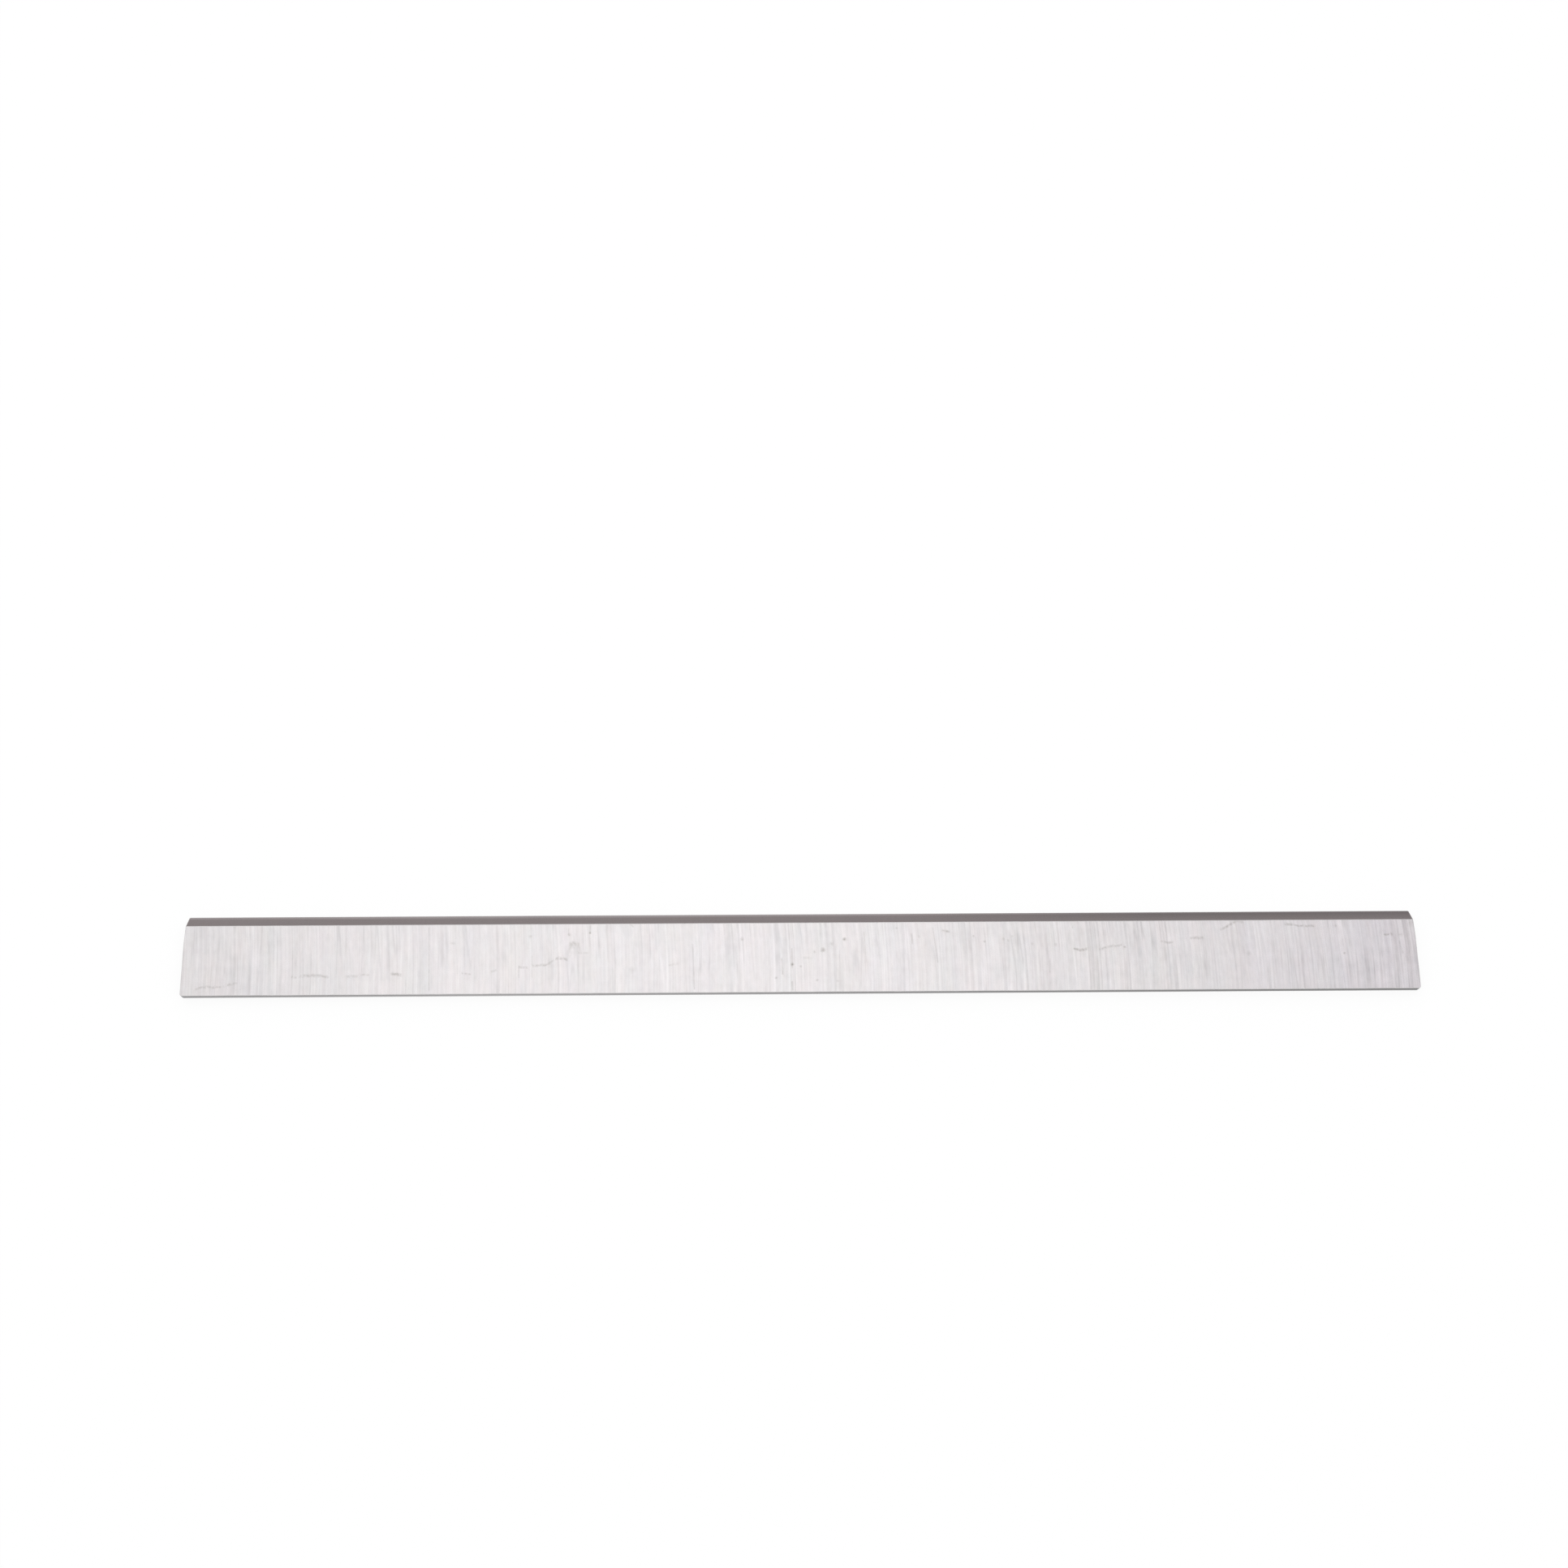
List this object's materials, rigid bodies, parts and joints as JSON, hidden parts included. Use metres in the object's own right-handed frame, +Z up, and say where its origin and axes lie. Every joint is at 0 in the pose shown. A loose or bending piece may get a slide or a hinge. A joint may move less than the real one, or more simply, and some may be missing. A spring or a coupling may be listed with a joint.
{
  "type": "planer knife",
  "caption": "Flat straight bar of ground steel with one long bevel to a sharp edge, clamped in a thickness planer's cutterhead to shave wood.",
  "frame": {"origin": "under the middle of the bar, on the surface that its back face lies on", "axes": "+X along the knife, +Y towards the cutting edge, +Z up out of the face with the bevel"},
  "size_m": [0.381, 0.0254, 0.0032],
  "materials": {
    "ground_steel": "surface ground bright, fine lines across the wide faces, fine lines along the darker bevel and rear edge"
  },
  "bodies": {
    "root": {"knife": "ground_steel"}
  },
  "joints": []
}
